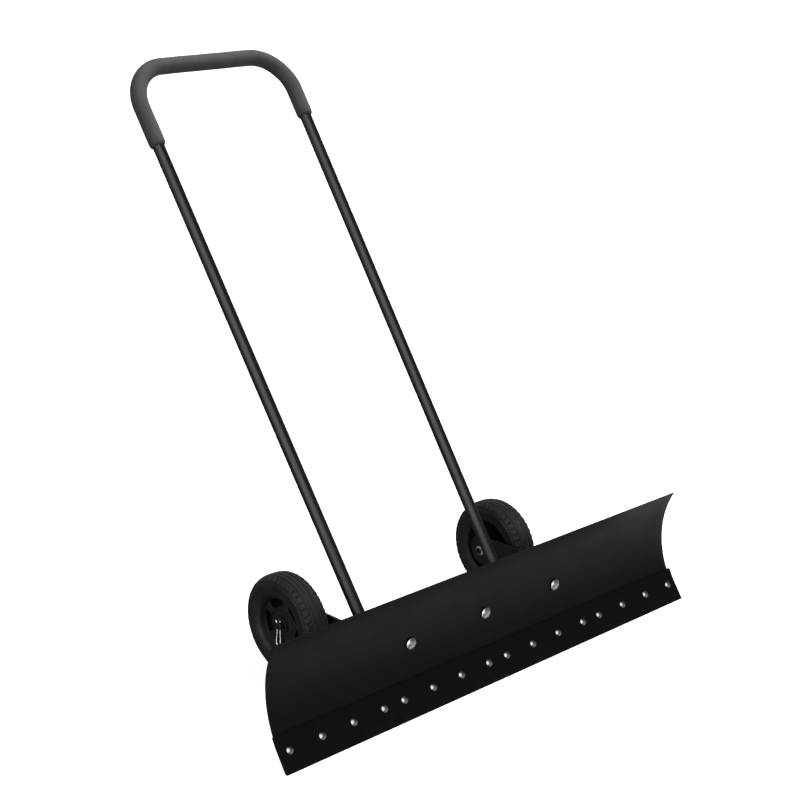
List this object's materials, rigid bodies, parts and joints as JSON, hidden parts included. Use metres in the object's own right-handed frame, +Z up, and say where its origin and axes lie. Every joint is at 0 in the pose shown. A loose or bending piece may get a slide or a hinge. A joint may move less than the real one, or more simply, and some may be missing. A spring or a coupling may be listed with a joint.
{
  "type": "rolling snow pusher",
  "caption": "Rolling snow pusher: long curved blade with bolted wear strips, carried on free-spinning wheels and pushed by a leaning U-shaped tube handle with a foam grip.",
  "frame": {"origin": "on the ground, in the middle of the whole object", "axes": "+X along the blade, +Y backwards towards the person who pushes, +Z up; left and right are as seen from in front of the blade"},
  "size_m": [1.0994, 0.9306, 1.1289],
  "materials": {
    "paint": "black powder coat, glossy on the tubes and satin on the blade",
    "strip_rubber": "matte black rubber, lightly scuffed at the edge",
    "tyre": "matte black tyre rubber with a shallow ribbed tread",
    "hub_plastic": "black moulded plastic, fine texture",
    "nylon": "dark grey nylon",
    "foam": "dark grey closed-cell foam, matte",
    "black_oxide": "black oxide, lightly oiled",
    "zinc": "bright zinc plate"
  },
  "bodies": {
    "pusher": {"moldboard": "paint", "mounting_beam": "paint", "crossbar": "paint", "left_arm": "paint", "right_arm": "paint", "handle_tube": "paint", "left_socket": "paint", "right_socket": "paint", "wear_strip_1": "strip_rubber", "wear_strip_2": "strip_rubber", "wear_strip_3": "strip_rubber", "wear_strip_4": "strip_rubber", "strip_bolt_01": "zinc", "strip_bolt_02": "zinc", "strip_bolt_03": "zinc", "strip_bolt_04": "zinc", "strip_bolt_05": "zinc", "strip_bolt_06": "zinc", "strip_bolt_07": "zinc", "strip_bolt_08": "zinc", "strip_bolt_09": "zinc", "strip_bolt_10": "zinc", "strip_bolt_11": "zinc", "strip_bolt_12": "zinc", "strip_bolt_13": "zinc", "strip_bolt_14": "zinc", "strip_bolt_15": "zinc", "strip_bolt_16": "zinc", "beam_bolt_left": "zinc", "beam_bolt_centre": "zinc", "beam_bolt_right": "zinc", "beam_nut_left": "zinc", "beam_nut_centre": "zinc", "beam_nut_right": "zinc", "left_socket_bolt": "zinc", "left_socket_nut": "zinc", "right_socket_bolt": "zinc", "right_socket_nut": "zinc", "handle_grip": "foam", "left_axle": "black_oxide", "left_washer": "black_oxide", "left_axle_nut": "zinc", "left_clip": "zinc", "right_axle": "black_oxide", "right_washer": "black_oxide", "right_axle_nut": "zinc", "right_clip": "zinc"},
    "left_wheel": {"left_tyre": "tyre", "left_hub": "hub_plastic", "left_inner_bush": "nylon", "left_outer_bush": "nylon"},
    "right_wheel": {"right_tyre": "tyre", "right_hub": "hub_plastic", "right_inner_bush": "nylon", "right_outer_bush": "nylon"}
  },
  "joints": [
    {"name": "left_wheel_spin", "type": "hinge", "parent": "pusher", "child": "left_wheel", "pos_m": [-0.2895, -0.15131, 0.102], "axis": [1, 0, 0], "continuous": true},
    {"name": "right_wheel_spin", "type": "hinge", "parent": "pusher", "child": "right_wheel", "pos_m": [0.2895, -0.15131, 0.102], "axis": [1, 0, 0], "continuous": true}
  ]
}
